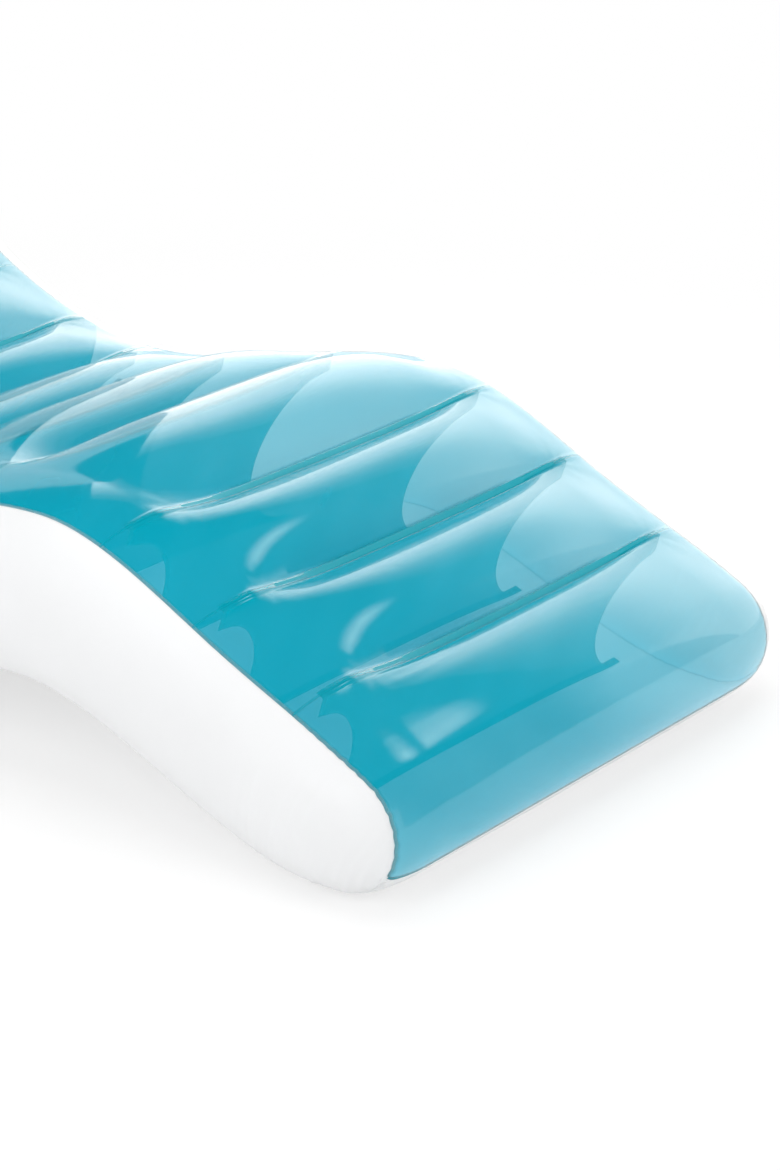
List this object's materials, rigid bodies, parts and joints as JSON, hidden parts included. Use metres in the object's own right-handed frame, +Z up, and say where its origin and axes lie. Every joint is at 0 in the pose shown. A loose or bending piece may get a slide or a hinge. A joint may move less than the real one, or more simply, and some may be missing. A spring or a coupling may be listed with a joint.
{
  "type": "inflatable pool chair",
  "caption": "Wave-shaped inflatable pool lounge with a see-through teal deck, white sides and floor, welded cross ribs and push-in air valves.",
  "frame": {"origin": "middle of the footprint, on the ground", "axes": "+Y from the foot end to the head end, +Z up, +X to the right as seen from the foot end"},
  "size_m": [0.9995, 1.9261, 0.5509],
  "materials": {
    "teal_film": "glossy see-through teal PVC film",
    "white_film": "satin opaque white PVC film",
    "clear_film": "clear PVC film inside the air body",
    "white_vinyl": "moulded white vinyl",
    "clear_vinyl": "thin soft vinyl"
  },
  "bodies": {
    "lounge": {"deck_sheet": "teal_film", "floor_sheet": "white_film", "left_side_panel": "white_film", "right_side_panel": "white_film", "web_1": "clear_film", "web_2": "clear_film", "web_3": "clear_film", "web_4": "clear_film", "web_5": "clear_film", "web_6": "clear_film", "web_8": "clear_film", "web_9": "clear_film", "chamber_divider": "clear_film", "main_valve_base": "white_vinyl", "back_valve_base": "white_vinyl"},
    "main_stem": {"main_valve_stem": "white_vinyl"},
    "main_cap": {"main_valve_cap": "white_vinyl"},
    "main_flap": {"main_valve_flap": "clear_vinyl"},
    "back_stem": {"back_valve_stem": "white_vinyl"},
    "back_cap": {"back_valve_cap": "white_vinyl"},
    "back_flap": {"back_valve_flap": "clear_vinyl"}
  },
  "joints": [
    {"name": "main_stem_slide", "type": "slide", "parent": "lounge", "child": "main_stem", "axis": [1, 0, 0], "range_m": [0, 0.011]},
    {"name": "main_cap_hinge", "type": "hinge", "parent": "main_stem", "child": "main_cap", "pos_m": [0.50164, 0.43676, 0.18176], "axis": [0, 0.9112, 0.4119], "range_deg": [0, 150]},
    {"name": "main_flap_hinge", "type": "hinge", "parent": "main_stem", "child": "main_flap", "pos_m": [0.47359, 0.43416, 0.18751], "axis": [0, -0.9112, -0.4119], "range_deg": [0, 60], "stiffness_Nm_per_rad": 0.0001},
    {"name": "back_stem_slide", "type": "slide", "parent": "lounge", "child": "back_stem", "axis": [1, 0, 0], "range_m": [0, 0.011]},
    {"name": "back_cap_hinge", "type": "hinge", "parent": "back_stem", "child": "back_cap", "pos_m": [0.50164, 0.59775, 0.24874], "axis": [0, 0.8906, 0.4548], "range_deg": [0, 150]},
    {"name": "back_flap_hinge", "type": "hinge", "parent": "back_stem", "child": "back_flap", "pos_m": [0.47359, 0.59488, 0.25435], "axis": [0, -0.8906, -0.4548], "range_deg": [0, 60], "stiffness_Nm_per_rad": 0.0001}
  ]
}
